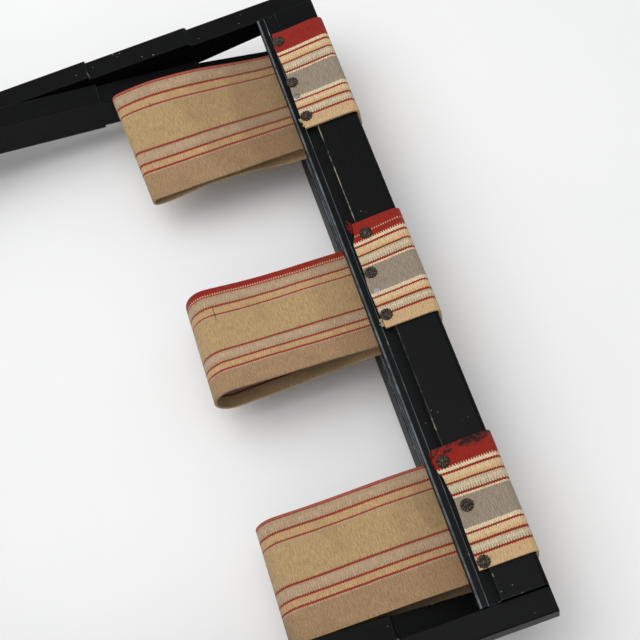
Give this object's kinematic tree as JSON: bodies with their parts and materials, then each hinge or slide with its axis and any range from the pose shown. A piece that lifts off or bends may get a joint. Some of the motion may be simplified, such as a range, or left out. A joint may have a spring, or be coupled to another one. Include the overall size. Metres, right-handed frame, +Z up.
{
  "type": "folding luggage rack",
  "caption": "Folding wooden luggage rack: crossed nested frames pivot on side bolts, and striped webbing straps tacked over the top rails hang as loops when folded and draw tight when open.",
  "frame": {"origin": "on the floor under the middle of the folded rack", "axes": "X along the rails, +Y to the back, +Z up from feet to rails"},
  "size_m": [0.6004, 0.0974, 0.6356],
  "materials": {
    "black_paint": "black gloss paint, worn and chipped along the edges",
    "bare_wood": "bare wood",
    "webbing": "woven striped webbing in red, cream, gold and grey",
    "bronze": "dark bronzed metal",
    "nail_steel": "bright steel",
    "steel": "blackened steel"
  },
  "bodies": {
    "pivots": {"pivot_bolt_left": "steel", "pivot_spacer_left": "steel", "pivot_washer_left": "steel", "pivot_nut_left": "steel", "pivot_bolt_right": "steel", "pivot_spacer_right": "steel", "pivot_washer_right": "steel", "pivot_nut_right": "steel"},
    "outer_frame": {"outer_rail": "black_paint", "outer_rail_dowels": "bare_wood", "outer_stretcher": "black_paint", "outer_leg_left": "black_paint", "outer_leg_right": "black_paint", "front_tacks": "bronze", "repair_nail": "nail_steel", "strap_1_front_wrap": "webbing", "strap_2_front_wrap": "webbing", "strap_3_front_wrap": "webbing"},
    "inner_frame": {"inner_rail": "black_paint", "inner_rail_dowels": "bare_wood", "inner_stretcher": "black_paint", "inner_leg_left": "black_paint", "inner_leg_right": "black_paint", "back_tacks": "bronze", "strap_1_back_wrap": "webbing", "strap_2_back_wrap": "webbing", "strap_3_back_wrap": "webbing"},
    "strap_front": {"strap_1_front_loop": "webbing", "strap_2_front_loop": "webbing", "strap_3_front_loop": "webbing"},
    "strap_back": {"strap_1_back_loop": "webbing", "strap_2_back_loop": "webbing", "strap_3_back_loop": "webbing"}
  },
  "joints": [
    {"name": "fold", "type": "hinge", "parent": "pivots", "child": "outer_frame", "pos_m": [0, 0, 0.31867], "axis": [1, 0, 0], "range_deg": [0, 33.32]},
    {"name": "fold_inner", "type": "hinge", "parent": "pivots", "child": "inner_frame", "pos_m": [0, 0, 0.31867], "axis": [1, 0, 0], "range_deg": [-33.32, 0]},
    {"name": "strap_front_swing", "type": "hinge", "parent": "outer_frame", "child": "strap_front", "pos_m": [0, -0.01699, 0.63032], "axis": [1, 0, 0], "range_deg": [0, 52.01], "deforming": ["strap_1_front_loop", "strap_2_front_loop", "strap_3_front_loop"]},
    {"name": "strap_back_swing", "type": "hinge", "parent": "inner_frame", "child": "strap_back", "pos_m": [0, 0.01699, 0.63032], "axis": [1, 0, 0], "range_deg": [-52.01, 0], "deforming": ["strap_1_back_loop", "strap_2_back_loop", "strap_3_back_loop"]}
  ],
  "couplings": [
    {"joint": "fold_inner", "follows": "fold", "ratio": -1},
    {"joint": "strap_front_swing", "follows": "fold", "ratio": 1.5607},
    {"joint": "strap_back_swing", "follows": "fold", "ratio": -1.5607}
  ]
}
